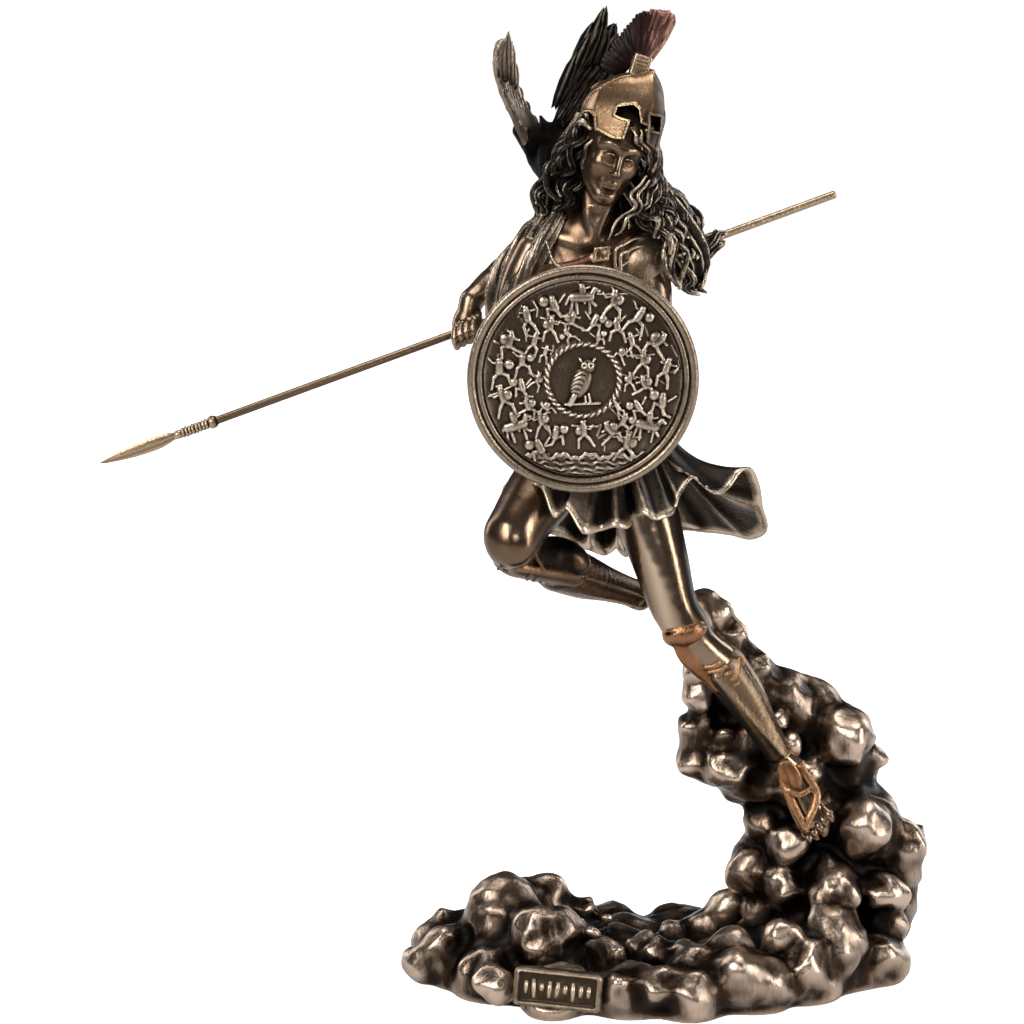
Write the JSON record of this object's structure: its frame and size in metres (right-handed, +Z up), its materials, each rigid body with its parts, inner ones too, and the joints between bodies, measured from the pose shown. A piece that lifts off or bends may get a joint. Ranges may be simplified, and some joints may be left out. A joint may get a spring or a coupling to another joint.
{
  "type": "athena statue",
  "caption": "Bronze-finish figurine of a helmeted goddess with a spear, a round shield and an owl, stepping down from a curling cloud plinth.",
  "frame": {"origin": "centre of the cloud plinth's flat underside, where the statue stands", "axes": "+Z up, the goddess faces -Y, +X to the viewer's right as seen from the front"},
  "size_m": [0.2461, 0.1011, 0.2888],
  "materials": {
    "cloud_bronze": "antiqued bronze, dark hollows, rubbed tops",
    "skin_bronze": "polished brown bronze",
    "gold_bronze": "pale rubbed bronze on helmet and mounts",
    "copper_bronze": "coppery bronze on greaves and straps",
    "hair_bronze": "dark bronze with rubbed strands",
    "cloth_bronze": "grey-brown bronze, satin",
    "crest_bronze": "red-brown bronze, dry-brushed",
    "shield_bronze": "dull antiqued bronze with rubbed relief",
    "spear_bronze": "pale satin bronze",
    "owl_bronze": "dark bronze with rubbed feather edges"
  },
  "bodies": {
    "root": {"cloud_base": "cloud_bronze", "figure": "skin_bronze", "shield": "shield_bronze", "spear": "spear_bronze", "owl": "owl_bronze"}
  },
  "joints": []
}
